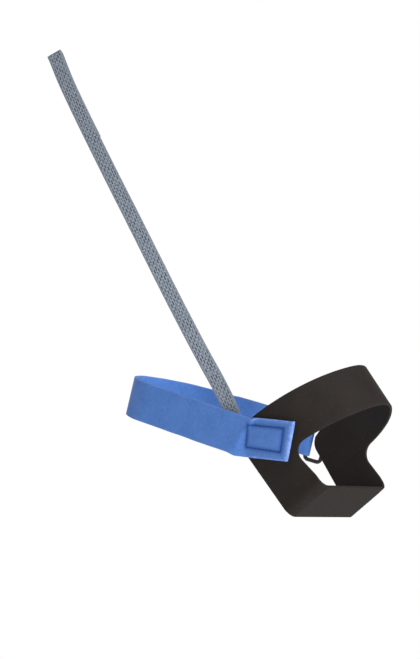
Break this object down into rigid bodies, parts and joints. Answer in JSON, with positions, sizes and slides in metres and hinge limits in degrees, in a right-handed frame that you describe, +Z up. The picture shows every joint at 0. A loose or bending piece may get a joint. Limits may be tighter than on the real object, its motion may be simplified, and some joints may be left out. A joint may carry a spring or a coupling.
{
  "type": "heel grounder",
  "caption": "Static-control heel grounder: rubber cup round the heel of a shoe, strap over the instep with a ring and a fold-back tail, and a conductive ribbon up the leg.",
  "frame": {"origin": "middle of the heel seat, on the upper face of the rubber band that passes under the heel", "axes": "+X towards the toes, +Y towards the side that carries the ribbon, +Z up the leg"},
  "size_m": [0.1549, 0.1044, 0.3571],
  "materials": {
    "cup_rubber": "matte, moulded",
    "strap_webbing": "woven loop-faced tape",
    "strap_thread": "sewing thread",
    "ribbon_weave": "woven with conductive yarns",
    "ring_plastic": "moulded",
    "hook_tape": "hooked",
    "resistor_ceramic": "lacquered",
    "tinned_steel": "bright",
    "shrink_sleeve": "smooth"
  },
  "bodies": {
    "cup": {"heel_cup": "cup_rubber", "tab_inner_layer": "strap_webbing", "tab_outer_layer": "strap_webbing", "tab_box_stitching": "strap_thread", "resistor_barrel": "resistor_ceramic", "resistor_end_caps": "tinned_steel", "resistor_ribbon_lead": "tinned_steel", "resistor_cup_lead": "tinned_steel", "resistor_sleeve": "shrink_sleeve", "ribbon_staple": "tinned_steel", "cup_staple": "tinned_steel", "ribbon_root": "ribbon_weave", "ring_keeper": "strap_webbing", "keeper_stitching": "strap_thread"},
    "strap": {"instep_strap": "strap_webbing", "strap_ring": "ring_plastic"},
    "tail": {"strap_tail": "strap_webbing", "hook_patch": "hook_tape", "patch_stitching": "strap_thread"},
    "ribbon": {"conductive_ribbon": "ribbon_weave"},
    "tuck": {"ribbon_tucked_end": "ribbon_weave"}
  },
  "joints": [
    {"name": "strap_swing", "type": "hinge", "parent": "cup", "child": "strap", "pos_m": [0.0087, 0, 0.0553], "axis": [0, -1, 0], "range_deg": [-8, 8]},
    {"name": "tail_peel", "type": "hinge", "parent": "strap", "child": "tail", "pos_m": [0.01596, -0.04821, 0.06459], "axis": [0.788, 0, -0.6157], "range_deg": [0, 135]},
    {"name": "ribbon_bend", "type": "hinge", "parent": "cup", "child": "ribbon", "pos_m": [0.0073, 0.043, 0.088], "axis": [-0.9942, 0, -0.108], "range_deg": [-8, 95]},
    {"name": "ribbon_unfold", "type": "hinge", "parent": "ribbon", "child": "tuck", "pos_m": [-0.02143, 0.046, 0.35244], "axis": [-0.9942, 0, -0.108], "range_deg": [0, 170]}
  ]
}
